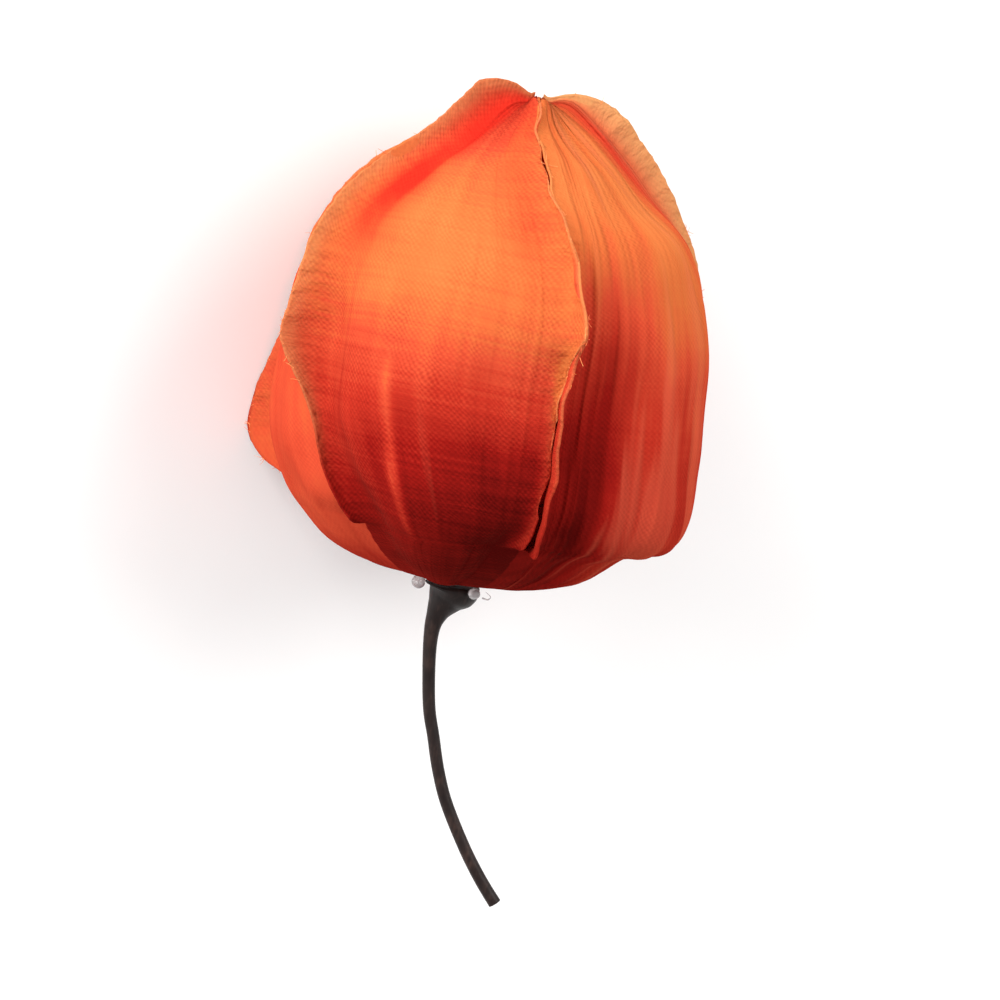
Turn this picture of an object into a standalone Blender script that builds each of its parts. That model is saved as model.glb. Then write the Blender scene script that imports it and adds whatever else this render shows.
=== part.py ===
"""An artificial physalis berry: a woven lantern of five petals glued along raised seams, on a moulded stem."""

import math

import bmesh
import bpy
import numpy as np
from mathutils import Matrix

# Driving dimensions, in millimetres and degrees. The lantern is drawn standing on its stem: Z runs from
# the stem to the tip, azimuth 0 is the side that lies uppermost (-Y) and azimuth 90 is +X. It is then laid
# down on two of its seams.
WALL = 0.6
FIN_THICKNESS = 0.9
ROWS = 44
PETAL_COLUMNS = 8
TIP_RISE = 0.4
BASE_FLOOR = 0.6

# Evenly spaced stations from tip to stem, as (radius, height): down the middle of a petal, and down a crease.
PETAL_LINE = (
    (1.4, 48.2), (5.0, 46.0), (9.0, 43.2), (13.0, 40.0), (16.8, 36.6), (19.0, 32.5), (20.3, 27.5), (21.0, 22.0),
    (21.5, 16.5), (21.2, 11.5), (19.3, 7.8), (16.0, 5.0), (12.3, 2.9), (7.8, 1.5), (3.0, 0.9),
)
CREASE_LINE = (
    (1.4, 47.6), (4.2, 44.8), (7.6, 41.9), (11.3, 38.9), (14.6, 35.4), (16.6, 31.5), (17.5, 26.5), (17.9, 21.5),
    (18.1, 16.3), (17.8, 11.6), (16.2, 8.0), (13.8, 5.5), (11.0, 3.4), (7.2, 1.7), (3.0, 0.9),
)

# One raised seam per entry. azimuth: at the tip, at the corner and at the slit. widths: how far it stands up,
# evenly spaced from the tip to its corner. corner: where it drops, and fall: how soon, as shares of the way from
# tip to stem. below: how far it still stands up under the corner and at the slit's end. slit: where the cut is
# open. foot and valley: how wide and how much shallower the crease is on each side. bulge: how far the petal that
# follows swells from its creases, evenly spaced from tip to stem, 1 being the whole petal line.
SEAMS = {
    "front_left": {
        "azimuth": (-60, -60, -36), "widths": (5.8, 4.4, 4.0, 4.5, 4.8, 5.0), "corner": 0.47, "fall": 0.10,
        "below": (2.0, 1.2), "slit": (0.66, 0.73), "foot": (1.2, 2.7), "valley": (0.2, 0.2),
        "bulge": (1.0, 1.0, 1.0, 1.0, 1.0, 1.0, 1.0, 1.0, 1.0),
    },
    "front_right": {
        "azimuth": (2, 20, 22), "widths": (2.8, 3.0, 3.0, 3.3, 4.1, 6.9), "corner": 0.41, "fall": 0.05,
        "below": (3.6, 1.6), "slit": (0.54, 0.71), "foot": (2.6, 1.6), "valley": (1.8, 1.0),
        "bulge": (1.0, 1.0, 1.0, 1.0, 1.05, 1.25, 1.75, 0.6, 0.6),
    },
    "right": {
        "azimuth": (112, 112, 112), "widths": (2.6, 5.6, 5.4, 4.4, 4.0, 3.6), "corner": 0.46, "fall": 0.08,
        "below": (1.6, 0.6), "slit": (0.65, 0.72), "foot": (2.0, 1.4), "valley": (0.8, 0.4),
        "bulge": (0.75, 0.75, 0.75, 0.75, 0.75, 0.75, 0.9, 0.9, 0.9),
    },
    "under": {
        "azimuth": (168, 166, 168), "widths": (2.6, 5.0, 6.0, 6.4, 6.6, 6.6), "corner": 0.50, "fall": 0.08,
        "below": (1.6, 0.6), "slit": (0.65, 0.72), "foot": (1.4, 1.4), "valley": (0.4, 0.4),
        "bulge": (0.45, 0.45, 0.45, 0.45, 0.45, 0.5, 0.5, 0.7, 0.8),
    },
    "left": {
        "azimuth": (244, 244, 244), "widths": (2.4, 3.2, 3.9, 4.8, 5.9, 8.2), "corner": 0.63, "fall": 0.07,
        "below": (4.6, 1.8), "slit": (0.69, 0.74), "foot": (1.4, 1.4), "valley": (0.4, 0.4),
        "bulge": (0.8, 0.8, 0.8, 0.75, 0.7, 0.5, 0.5, 0.9, 0.6),
    },
}

# The stem from its cut end to its cup: (x, z, radius), bent in the XZ plane.
STEM_LINE = (
    (9.8, -30.6, 0.66), (8.0, -28.5, 0.64), (5.8, -25.5, 0.62), (3.3, -21.4, 0.62), (1.9, -18.2, 0.62),
    (0.86, -15.0, 0.62), (-0.1, -12.0, 0.63), (-0.9, -7.4, 0.66), (-1.15, -4.4, 0.78), (-0.9, -2.7, 1.1),
    (-0.4, -1.3, 1.8), (0.0, -0.4, 2.5), (0.1, 0.1, 2.75), (0.1, 0.5, 2.6),
)
STEM_SIDES = 16

# Drops of glue at the cup's rim: (x, y, z, radius). The thread is one pulled end of glue.
GLUE_BEADS = {
    "glue_bead_left": (-3.24, -1.19, 0.3, 0.7),
    "glue_bead_right": (2.35, -2.55, 0.3, 0.6),
}
GLUE_THREAD = ((3.2, -2.7, 0.05), (3.75, -3.0, 0.05), (3.95, -3.1, 0.4), (3.4, -3.1, 0.78))
THREAD_RADIUS = 0.14
THREAD_SIDES = 8

# How it lies: turned about its own axis, then tipped over, and set down with its lowest point on the floor.
LIE_SPIN = -25.5
LIE_TIP = -96.4


def through(points, at):
    """A smooth curve through evenly spaced points, at shares from 0 to 1."""
    known = np.asarray(points, float)
    known = known[:, None] if known.ndim == 1 else known
    last = len(known) - 1
    known = np.vstack([2 * known[0] - known[1], known, 2 * known[-1] - known[-2]])
    place = np.clip(at, 0, 1) * last
    first = np.minimum(place.astype(int), last - 1)
    t = (place - first)[:, None]
    a, b, c, d = (known[first + k] for k in range(4))
    return 0.5 * (2 * b + (c - a) * t + (2 * a - 5 * b + 4 * c - d) * t**2 + (3 * b - a - 3 * c + d) * t**3)


def ease(x):
    x = np.clip(x, 0, 1)
    return x * x * (3 - 2 * x)


def outward(line):
    """The outward normals of a (radius, height) line that runs from tip to stem."""
    along = np.gradient(line, axis=0)
    along /= np.linalg.norm(along, axis=1)[:, None]
    return np.column_stack([-along[:, 1], along[:, 0]])


def seam_azimuth(seam, v):
    tip, corner, end = seam["azimuth"]
    upper = tip + (corner - tip) * ease(v / seam["corner"])
    return np.radians(upper + (end - corner) * ease((v - seam["corner"]) / (0.74 - seam["corner"])))


def seam_width(seam, v):
    up = through(seam["widths"], v / seam["corner"])[:, 0]
    drop = ease((v - seam["corner"]) / seam["fall"])
    start, stop = seam["below"]
    low = start + (stop - start) * np.clip((v - seam["corner"]) / (0.72 - seam["corner"]), 0, 1)
    low = 0.35 + (low - 0.35) * (1 - ease((v - 0.70) / 0.08))
    return (up * (1 - drop) + low * drop) * (1 - 0.62 * near_tip(v))


def near_tip(v):
    return 1 - ease(v / 0.06)


def seam_outward(crease, v):
    """The way a seam stands: square to its crease, but up and in near the tip."""
    out = outward(crease) + np.column_stack([-0.95 * near_tip(v), 0.25 * near_tip(v)])
    return out / np.linalg.norm(out, axis=1)[:, None]


def seam_roots(seam, crease, v):
    """The lines where a seam's two sides meet the petals."""
    rise = ease(v / 0.12) * (1 - ease((v - 0.50) / 0.14))
    return [crease + outward(crease) * (height * rise)[:, None] for height in seam["valley"]]


def inset(line):
    inside = line - outward(line) * WALL
    inside[:, 0] = np.maximum(inside[:, 0], 0.6)
    return inside


def husk_columns():
    """The columns of the outer and inner skins, each (radius, height, azimuth) from tip to stem."""
    v = np.linspace(0, 1, ROWS)
    petal, crease = through(PETAL_LINE, v), through(CREASE_LINE, v)
    seams = list(SEAMS.values())
    azimuths = [seam_azimuth(seam, v) for seam in seams]
    roots = [seam_roots(seam, crease, v) for seam in seams]
    feet = [[np.minimum(foot, 0.34 * crease[:, 0]) / crease[:, 0] for foot in seam["foot"]] for seam in seams]
    outer, inner = [], []
    for k, seam in enumerate(seams):
        here, following = azimuths[k], azimuths[(k + 1) % 5]
        following = following + 2 * math.pi * (following[0] < here[0])
        edge = crease + seam_outward(crease, v) * seam_width(seam, v)[:, None]
        (before, after), (low_before, low_after) = feet[k], roots[k]
        top = np.minimum(FIN_THICKNESS / 2, 0.24 * crease[:, 0]) / np.maximum(edge[:, 0], 0.5)
        for line, turn in ((low_before, -before), (edge, -top), (edge, top), (low_after, after)):
            outer.append(np.column_stack([line, here + turn]))
        for line, turn in (
            (low_before, -before), (crease, -0.5 * before), (crease, 0.5 * after), (low_after, after)
        ):
            inner.append(np.column_stack([inset(line), here + turn]))
        next_foot, next_low = feet[(k + 1) % 5][0], roots[(k + 1) % 5][0]
        bulge = through(seam["bulge"], v)
        for j in range(1, PETAL_COLUMNS + 1):
            s = j / (PETAL_COLUMNS + 1)
            low = low_after + (next_low - low_after) * ease(s)
            line = low + (petal - low) * bulge * math.sin(math.pi * s) ** 0.9
            azimuth = here + after + (following - here - after - next_foot) * s
            outer.append(np.column_stack([line, azimuth]))
            inner.append(np.column_stack([inset(line), azimuth]))
    return outer, inner


def in_space(column):
    radius, height, azimuth = column.T
    return np.column_stack([radius * np.sin(azimuth), -radius * np.cos(azimuth), height])


def slit_rows(seam):
    first, last = (round(share * (ROWS - 1)) for share in seam["slit"])
    return range(first, last)


def skin(bm, columns):
    return [[bm.verts.new(point) for point in in_space(column)] for column in columns]


def cap(bm, ring, height):
    """Closes a ring to a point on the axis, keeping the ring's order."""
    middle = bm.verts.new((0, 0, height))
    for k, vert in enumerate(ring):
        bm.faces.new((vert, ring[(k + 1) % len(ring)], middle))


def husk_mesh():
    """The five petals as one sheet, double at its seams, open at the slits below them."""
    bm = bmesh.new()
    outer_columns, inner_columns = husk_columns()
    outer, inner = skin(bm, outer_columns), skin(bm, inner_columns)
    stride = 4 + PETAL_COLUMNS
    open_at = {(k * stride + 1, row) for k, seam in enumerate(SEAMS.values()) for row in slit_rows(seam)}
    count = len(outer)
    for side, order in ((outer, 1), (inner, -1)):
        for k in range(count):
            left, right = side[k], side[(k + 1) % count]
            for row in range(ROWS - 1):
                if (k, row) not in open_at:
                    quad = (left[row], left[row + 1], right[row + 1], right[row])
                    bm.faces.new(quad[::order])
    for k, seam in enumerate(SEAMS.values()):
        rows, first = slit_rows(seam), k * stride + 1
        for row in rows:
            bm.faces.new((outer[first][row + 1], outer[first][row], inner[first][row], inner[first][row + 1]))
            bm.faces.new(
                (outer[first + 1][row], outer[first + 1][row + 1], inner[first + 1][row + 1], inner[first + 1][row])
            )
        for row, order in ((rows[0], 1), (rows[-1] + 1, -1)):
            quad = (outer[first][row], outer[first + 1][row], inner[first + 1][row], inner[first][row])
            bm.faces.new(quad[::order])
    cap(bm, [column[0] for column in outer], CREASE_LINE[0][1] + TIP_RISE)
    cap(bm, [column[0] for column in inner][::-1], CREASE_LINE[0][1] - WALL)
    cap(bm, [column[-1] for column in outer][::-1], PETAL_LINE[-1][1])
    cap(bm, [column[-1] for column in inner], PETAL_LINE[-1][1] + BASE_FLOOR)
    return bm


def tube_mesh(points, radii, sides):
    """A round bar along the points, closed at both ends."""
    bm = bmesh.new()
    points = np.asarray(points, float)
    along = np.gradient(points, axis=0)
    rings = []
    for point, direction, radius in zip(points, along, radii):
        direction = direction / np.linalg.norm(direction)
        across = np.cross(direction, (0, 1, 0))
        across /= np.linalg.norm(across)
        up = np.cross(across, direction)
        turns = [2 * math.pi * k / sides for k in range(sides)]
        rings.append([bm.verts.new(point + radius * (math.cos(t) * across + math.sin(t) * up)) for t in turns])
    for low, high in zip(rings, rings[1:]):
        for k in range(sides):
            following = (k + 1) % sides
            bm.faces.new((low[k], low[following], high[following], high[k]))
    bm.faces.new(rings[0][::-1])
    bm.faces.new(rings[-1])
    return bm


def stem_mesh():
    known = np.array(STEM_LINE)
    line = through(known, np.linspace(0, 1, 34))
    flat = np.column_stack([line[:, 0], np.zeros(len(line)), line[:, 1]])
    return tube_mesh(flat, line[:, 2], STEM_SIDES)


def thread_mesh():
    line = through(GLUE_THREAD, np.linspace(0, 1, 12))
    return tube_mesh(line, [THREAD_RADIUS] * len(line), THREAD_SIDES)


def bead_mesh(x, y, z, radius):
    bm = bmesh.new()
    bmesh.ops.create_icosphere(bm, subdivisions=3, radius=radius, matrix=Matrix.Translation((x, y, z)))
    return bm


def material(name, colour, roughness, transmission=0.0):
    made = bpy.data.materials.new(name)
    made.use_nodes = True
    shader = made.node_tree.nodes["Principled BSDF"]
    shader.inputs["Base Color"].default_value = (*colour, 1)
    shader.inputs["Roughness"].default_value = roughness
    shader.inputs["Transmission Weight"].default_value = transmission
    made.diffuse_color = (*colour, 1)
    return made


def add(name, bm, place, surface):
    bmesh.ops.recalc_face_normals(bm, faces=bm.faces)
    bm.transform(place)
    mesh = bpy.data.meshes.new(name)
    bm.to_mesh(mesh)
    bm.free()
    mesh.shade_smooth()
    mesh.set_sharp_from_angle(angle=math.radians(55))
    mesh.materials.append(surface)
    node = bpy.data.objects.new(name, mesh)
    bpy.context.collection.objects.link(node)
    return node


def set_down(nodes):
    """Puts the lowest point at height 0 and the middle of the whole box over the origin."""
    points = np.array([vert.co for node in nodes for vert in node.data.vertices])
    low, high = points.min(axis=0), points.max(axis=0)
    shift = Matrix.Translation((-(low[0] + high[0]) / 2, -(low[1] + high[1]) / 2, -low[2]))
    for node in nodes:
        node.data.transform(shift)


def main():
    for item in list(bpy.data.objects):
        bpy.data.objects.remove(item)
    scale = Matrix.Scale(0.001, 4)
    lie = Matrix.Rotation(math.radians(LIE_TIP), 4, "X") @ Matrix.Rotation(math.radians(LIE_SPIN), 4, "Z") @ scale
    fabric = material("woven_fabric", (0.80, 0.20, 0.05), 0.75)
    plastic = material("brown_plastic", (0.035, 0.018, 0.013), 0.42)
    glue = material("clear_glue", (0.72, 0.66, 0.64), 0.2)
    nodes = [add("husk", husk_mesh(), lie, fabric), add("stem", stem_mesh(), lie, plastic)]
    nodes += [add(name, bead_mesh(*place), lie, glue) for name, place in GLUE_BEADS.items()]
    nodes.append(add("glue_thread", thread_mesh(), lie, glue))
    set_down(nodes)


main()
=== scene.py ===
import math
import random

import bpy
import numpy as np
from mathutils import Matrix, Vector, noise


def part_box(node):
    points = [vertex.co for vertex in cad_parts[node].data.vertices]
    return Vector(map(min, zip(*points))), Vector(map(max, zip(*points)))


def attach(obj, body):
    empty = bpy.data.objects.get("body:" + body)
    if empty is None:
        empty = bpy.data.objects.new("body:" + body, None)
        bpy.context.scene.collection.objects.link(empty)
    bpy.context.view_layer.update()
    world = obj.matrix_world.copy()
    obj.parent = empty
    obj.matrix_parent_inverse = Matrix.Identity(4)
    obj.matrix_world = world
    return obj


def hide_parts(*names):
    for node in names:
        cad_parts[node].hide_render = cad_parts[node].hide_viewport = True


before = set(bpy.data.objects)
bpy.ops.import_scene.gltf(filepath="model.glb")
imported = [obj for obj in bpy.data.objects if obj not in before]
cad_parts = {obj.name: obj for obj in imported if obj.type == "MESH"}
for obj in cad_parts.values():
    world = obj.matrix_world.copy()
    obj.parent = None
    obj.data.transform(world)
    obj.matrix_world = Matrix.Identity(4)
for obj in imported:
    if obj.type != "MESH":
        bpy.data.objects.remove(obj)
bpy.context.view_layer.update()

# The berry is shaped standing on its stem, in millimetres: Z runs from the stem to the tip, azimuth 0 is the
# side that will face the camera (-Y) and 90 is +X. layDown then turns it over onto two of its seams.
lying = {"spin": -25.5, "tip": -96.4}  # degrees, about its own axis and then over
pressed = 0.0004  # metres over the floor within which cloth is pressed flat
beads = {
    "glueBeadLeft": {"node": "glue_bead_left", "centre": (-3.24, -1.19, 0.3), "radius": 0.7},
    "glueBeadRight": {"node": "glue_bead_right", "centre": (2.35, -2.55, 0.3), "radius": 0.6},
}


def findLie():
    tip = Matrix.Rotation(math.radians(lying["tip"]), 4, "X")
    turn = tip @ Matrix.Rotation(math.radians(lying["spin"]), 4, "Z")
    turn = turn @ Matrix.Scale(0.001, 4)
    low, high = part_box("glue_bead_left")
    shift = (Vector(low) + Vector(high)) / 2 - turn @ Vector(beads["glueBeadLeft"]["centre"])
    return Matrix.Translation(shift) @ turn


lie = findLie()


def clearSelection():
    bpy.ops.object.select_all(action="DESELECT")


def takeNew(name, material):
    piece = bpy.context.object
    piece.name = piece.data.name = name
    piece.data.materials.clear()
    piece.data.materials.append(material)
    return piece


def layDown(piece):
    piece.data.transform(lie)
    # what would reach under the floor is pressed flat just above it
    for vert in piece.data.vertices:
        if vert.co.z < pressed:
            vert.co.z = pressed * math.exp(vert.co.z / pressed - 1)
    piece.data.update()
    return piece


def ease(x):
    # 0 up to 0, 1 from 1 on, and smooth between
    x = np.clip(x, 0, 1)
    return x * x * (3 - 2 * x)


def through(points, at):
    # smooth curve through evenly spaced points, at shares from 0 to 1
    known = np.asarray(points, float)
    if known.ndim == 1:
        known = known[:, None]
    last = len(known) - 1
    known = np.vstack([2 * known[0] - known[1], known, 2 * known[-1] - known[-2]])
    place = np.clip(at, 0, 1) * last
    first = np.minimum(place.astype(int), last - 1)
    t = (place - first)[:, None]
    a, b, c, d = (known[first + k] for k in range(4))
    return 0.5 * (2 * b + (c - a) * t + (2 * a - 5 * b + 4 * c - d) * t**2 + (3 * b - a - 3 * c + d) * t**3)


def splineWeights(count, controls):
    # how much each control pulls each of count samples of a cubic B-spline that meets its end controls
    weights = np.zeros((count, controls))
    for row, x in enumerate(np.linspace(0, controls - 1, count)):
        first = min(int(x), controls - 2)
        t = x - first
        middle = (3 * t**3 - 6 * t**2 + 4) / 6, (-3 * t**3 + 3 * t**2 + 3 * t + 1) / 6
        parts = ((1 - t) ** 3 / 6, *middle, t**3 / 6)
        for k, part in enumerate(parts):
            index = first - 1 + k
            if index < 0:
                weights[row, 0] += 2 * part
                weights[row, 1] -= part
            elif index > controls - 1:
                weights[row, -1] += 2 * part
                weights[row, -2] -= part
            else:
                weights[row, index] += part
    return weights


def newMaterial(name):
    made = bpy.data.materials.new(name)
    made.use_nodes = True
    tree = made.node_tree
    return made, tree, tree.nodes["Principled BSDF"]


def addNode(tree, kind, **settings):
    node = tree.nodes.new(kind)
    for key, value in settings.items():
        if hasattr(node, key):
            setattr(node, key, value)
        else:
            node.inputs[key.replace("_", " ")].default_value = value
    return node


def mathNode(tree, operation, first, second=None, third=None):
    node = tree.nodes.new("ShaderNodeMath")
    node.operation = operation
    for socket, value in zip(node.inputs, (first, second, third)):
        if value is None:
            continue
        if isinstance(value, (int, float)):
            socket.default_value = value
        else:
            tree.links.new(value, socket)
    return node.outputs[0]


def rampNode(tree, factor, stops):
    node = tree.nodes.new("ShaderNodeValToRGB")
    ramp = node.color_ramp
    while len(ramp.elements) < len(stops):
        ramp.elements.new(0.5)
    for element, (place, colour) in zip(ramp.elements, stops):
        element.position = place
        element.color = (*colour, 1)
    tree.links.new(factor, node.inputs[0])
    return node.outputs[0]


def mixColour(tree, blend, factor, first, second):
    node = tree.nodes.new("ShaderNodeMix")
    node.data_type = "RGBA"
    node.blend_type = blend
    for socket, value in zip((node.inputs[0], node.inputs[6], node.inputs[7]), (factor, first, second)):
        if isinstance(value, (int, float)):
            socket.default_value = value
        elif isinstance(value, tuple):
            socket.default_value = (*value, 1)
        else:
            tree.links.new(value, socket)
    return node.outputs[2]


clothLook = {
    "threadPitch": 0.566,  # mm between like threads, both ways
    # colour by depth of dye; the deepest stops are darker than the dye alone, as painted shade
    "dyeAndShadeRamp": (
        (0.00, (0.84, 0.27, 0.074)),
        (0.25, (0.80, 0.19, 0.052)),
        (0.45, (0.74, 0.088, 0.038)),
        (0.62, (0.56, 0.036, 0.019)),
        (0.80, (0.34, 0.011, 0.008)),
        (1.00, (0.13, 0.0045, 0.004)),
    ),
    # deep red painted into the creases as shade and bounced light
    "creaseShadeColour": (0.80, 0.030, 0.017),
    "paleDye": (0.82, 0.40, 0.155),
    "crestHighlight": (0.76, 0.15, 0.080),
    # how much each of these shifts the depth of dye: slubs, blotches and strands as real dye, and wrinkles,
    # pleats and weave as painted shade and painted highlight, paler on their crests
    "slubDye": 0.28,
    "blotchDye": 0.20,
    "strandDye": 0.10,
    "wrinkleShading": -0.5,
    "pleatShading": -0.16,
    "weaveHighlight": -0.046,
    "crestHighlightFrom": 0.06,  # how high a wrinkle stands before its crest gets a painted highlight
    "crestHighlightMost": 0.30,
    "wrinkleDepth": 0.0018,  # metres
    "threadDepth": 0.00010,
    "sheen": 0.02,
    "through": 0.28,  # share of light that comes through the cloth
    "throughTint": (1.0, 0.72, 0.50),
}


def wovenCloth():
    # woven flower cloth: a slanting weave, slubs along the weft, dye that runs from orange to deep red, with
    # painted shade and painted highlights mixed in
    made, tree, shader = newMaterial("wovenCloth")
    link = tree.links.new
    cloth = addNode(tree, "ShaderNodeUVMap", uv_map="cloth")
    dyeAndShade = addNode(tree, "ShaderNodeAttribute", attribute_name="dyeAndShade")
    parts = tree.nodes.new("ShaderNodeSeparateColor")
    link(dyeAndShade.outputs["Color"], parts.inputs[0])
    depth, pale, crease = parts.outputs
    flap = dyeAndShade.outputs["Alpha"]
    cut = addNode(tree, "ShaderNodeAttribute", attribute_name="cut")
    cutParts = tree.nodes.new("ShaderNodeSeparateColor")
    link(cut.outputs["Color"], cutParts.inputs[0])
    share, reach, wrinkled = cutParts.outputs
    streaked = cut.outputs["Alpha"]
    across = tree.nodes.new("ShaderNodeSeparateXYZ")
    link(cloth.outputs[0], across.inputs[0])
    turn = 2 * math.pi / clothLook["threadPitch"]

    # threads wander a little, so the weave isn't ruled, and it shows more in some places
    wander = addNode(tree, "ShaderNodeTexNoise", Scale=0.35, Detail=2.0)
    link(cloth.outputs[0], wander.inputs["Vector"])
    shiftU = mathNode(tree, "MULTIPLY_ADD", wander.outputs["Fac"], 1.1, across.outputs[0])
    shiftV = mathNode(tree, "MULTIPLY_ADD", wander.outputs["Fac"], -0.9, across.outputs[1])
    aslant = mathNode(tree, "SUBTRACT", shiftU, shiftV)
    twill = mathNode(tree, "SINE", mathNode(tree, "MULTIPLY", aslant, turn))
    otherWay = mathNode(tree, "ADD", shiftU, shiftV)
    crossing = mathNode(tree, "SINE", mathNode(tree, "MULTIPLY", otherWay, turn))
    threads = mathNode(tree, "MULTIPLY_ADD", twill, 0.65, mathNode(tree, "MULTIPLY", crossing, 0.40))
    patches = addNode(tree, "ShaderNodeTexNoise", Scale=0.22, Detail=3.0, Roughness=0.6)
    link(cloth.outputs[0], patches.inputs["Vector"])
    shows = mathNode(tree, "MULTIPLY_ADD", patches.outputs["Fac"], 2.2, -0.55)
    shows = mathNode(tree, "MULTIPLY", shows, mathNode(tree, "MULTIPLY_ADD", streaked, 0.6, 0.4))
    weave = mathNode(tree, "MULTIPLY", threads, shows)

    # slubs along the weft, and strands along the warp
    stretch = addNode(tree, "ShaderNodeMapping")
    stretch.inputs["Scale"].default_value = (0.055, 2.3, 1)
    link(cloth.outputs[0], stretch.inputs["Vector"])
    slubs = addNode(tree, "ShaderNodeTexNoise", Scale=1.0, Detail=4.0, Roughness=0.7)
    link(stretch.outputs[0], slubs.inputs["Vector"])
    slubHeight = mathNode(tree, "MULTIPLY", mathNode(tree, "SUBTRACT", slubs.outputs["Fac"], 0.5), streaked)
    stretchUp = addNode(tree, "ShaderNodeMapping")
    stretchUp.inputs["Scale"].default_value = (0.9, 0.05, 1)
    link(cloth.outputs[0], stretchUp.inputs["Vector"])
    strands = addNode(tree, "ShaderNodeTexNoise", Scale=1.0, Detail=2.0)
    link(stretchUp.outputs[0], strands.inputs["Vector"])

    # long wrinkles that run with the petal from tip to stem
    lines = tree.nodes.new("ShaderNodeCombineXYZ")
    link(mathNode(tree, "MULTIPLY", share, 24.0), lines.inputs[0])
    link(mathNode(tree, "MULTIPLY", reach, 2.4), lines.inputs[1])
    link(mathNode(tree, "MULTIPLY", across.outputs[0], 0.004), lines.inputs[2])
    wrinkles = addNode(tree, "ShaderNodeTexNoise", Scale=1.0, Detail=2.0, Roughness=0.45)
    link(lines.outputs[0], wrinkles.inputs["Vector"])
    wrinkleRise = mathNode(tree, "SUBTRACT", wrinkles.outputs["Fac"], 0.5)
    wrinkleRise = mathNode(tree, "MULTIPLY", wrinkleRise, wrinkled)

    # short pleats across the seams
    cross = tree.nodes.new("ShaderNodeCombineXYZ")
    link(mathNode(tree, "MULTIPLY", share, 5.0), cross.inputs[0])
    link(mathNode(tree, "MULTIPLY", reach, 58.0), cross.inputs[1])
    pleats = addNode(tree, "ShaderNodeTexNoise", Scale=1.0, Detail=3.0, Roughness=0.5)
    link(cross.outputs[0], pleats.inputs["Vector"])
    pleatRise = mathNode(tree, "MULTIPLY", mathNode(tree, "SUBTRACT", pleats.outputs["Fac"], 0.5), flap)

    # dye with painted shade: the depth of colour, blotched and dragged along the threads
    blotch = addNode(tree, "ShaderNodeTexNoise", Scale=0.16, Detail=3.0)
    link(cloth.outputs[0], blotch.inputs["Vector"])
    value = mathNode(tree, "MULTIPLY_ADD", slubHeight, clothLook["slubDye"], depth)
    blotched = mathNode(tree, "SUBTRACT", blotch.outputs["Fac"], 0.5)
    value = mathNode(tree, "MULTIPLY_ADD", blotched, clothLook["blotchDye"], value)
    stranded = mathNode(tree, "SUBTRACT", strands.outputs["Fac"], 0.5)
    value = mathNode(tree, "MULTIPLY_ADD", stranded, clothLook["strandDye"], value)
    # painted shade and highlights: paler on the crests of the wrinkles, pleats and weave threads and deeper
    # in their hollows
    value = mathNode(tree, "MULTIPLY_ADD", wrinkleRise, clothLook["wrinkleShading"], value)
    value = mathNode(tree, "MULTIPLY_ADD", pleatRise, clothLook["pleatShading"], value)
    value = mathNode(tree, "MULTIPLY_ADD", weave, clothLook["weaveHighlight"], value)
    colour = rampNode(tree, value, clothLook["dyeAndShadeRamp"])
    # painted shade and painted bounce light: the creases are mixed towards deep red, blotched
    creaseShadeAmount = mathNode(tree, "MULTIPLY_ADD", blotch.outputs["Fac"], 1.2, 0.30)
    creaseShadeAmount = mathNode(tree, "MINIMUM", mathNode(tree, "MULTIPLY", crease, creaseShadeAmount), 0.95)
    colour = mixColour(tree, "MIX", creaseShadeAmount, colour, clothLook["creaseShadeColour"])
    colour = mixColour(tree, "MIX", mathNode(tree, "MULTIPLY", pale, 0.70), colour, clothLook["paleDye"])
    # painted highlights on the crests of the wrinkles, mixed towards a paler red
    crests = mathNode(tree, "SUBTRACT", wrinkleRise, clothLook["crestHighlightFrom"])
    crests = mathNode(tree, "MULTIPLY", mathNode(tree, "MAXIMUM", crests, 0.0), 3.4)
    crests = mathNode(tree, "MINIMUM", crests, clothLook["crestHighlightMost"])
    colour = mixColour(tree, "MIX", crests, colour, clothLook["crestHighlight"])
    # painted shade in the gaps between the weave's threads
    gaps = mathNode(tree, "MULTIPLY_ADD", weave, 0.10, 0.93)
    shade = mixColour(tree, "MIX", gaps, (0.0, 0.0, 0.0), (1.0, 1.0, 1.0))
    colour = mixColour(tree, "MULTIPLY", 1.0, colour, shade)
    link(colour, shader.inputs["Base Color"])

    rough = mathNode(tree, "MULTIPLY_ADD", slubs.outputs["Fac"], 0.25, 0.46)
    link(rough, shader.inputs["Roughness"])
    shader.inputs["Specular IOR Level"].default_value = 0.0
    shader.inputs["Sheen Weight"].default_value = clothLook["sheen"]
    shader.inputs["Sheen Roughness"].default_value = 0.45
    shader.inputs["Sheen Tint"].default_value = (1.0, 0.55, 0.35, 1)

    soft = addNode(tree, "ShaderNodeBump", Strength=1.0, Distance=clothLook["wrinkleDepth"])
    link(mathNode(tree, "MULTIPLY_ADD", pleatRise, 0.35, wrinkleRise), soft.inputs["Height"])
    height = mathNode(tree, "MULTIPLY_ADD", slubHeight, 1.1, mathNode(tree, "MULTIPLY", weave, 0.45))
    height = mathNode(tree, "MULTIPLY_ADD", strands.outputs["Fac"], 0.8, height)
    bump = addNode(tree, "ShaderNodeBump", Strength=0.55, Distance=clothLook["threadDepth"])
    link(height, bump.inputs["Height"])
    link(soft.outputs[0], bump.inputs["Normal"])
    link(bump.outputs[0], shader.inputs["Normal"])

    behind = tree.nodes.new("ShaderNodeBsdfTranslucent")
    link(mixColour(tree, "MULTIPLY", 1.0, colour, clothLook["throughTint"]), behind.inputs["Color"])
    both = tree.nodes.new("ShaderNodeMixShader")
    both.inputs[0].default_value = clothLook["through"]
    link(shader.outputs[0], both.inputs[1])
    link(behind.outputs[0], both.inputs[2])
    link(both.outputs[0], tree.nodes["Material Output"].inputs["Surface"])
    return made


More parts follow.
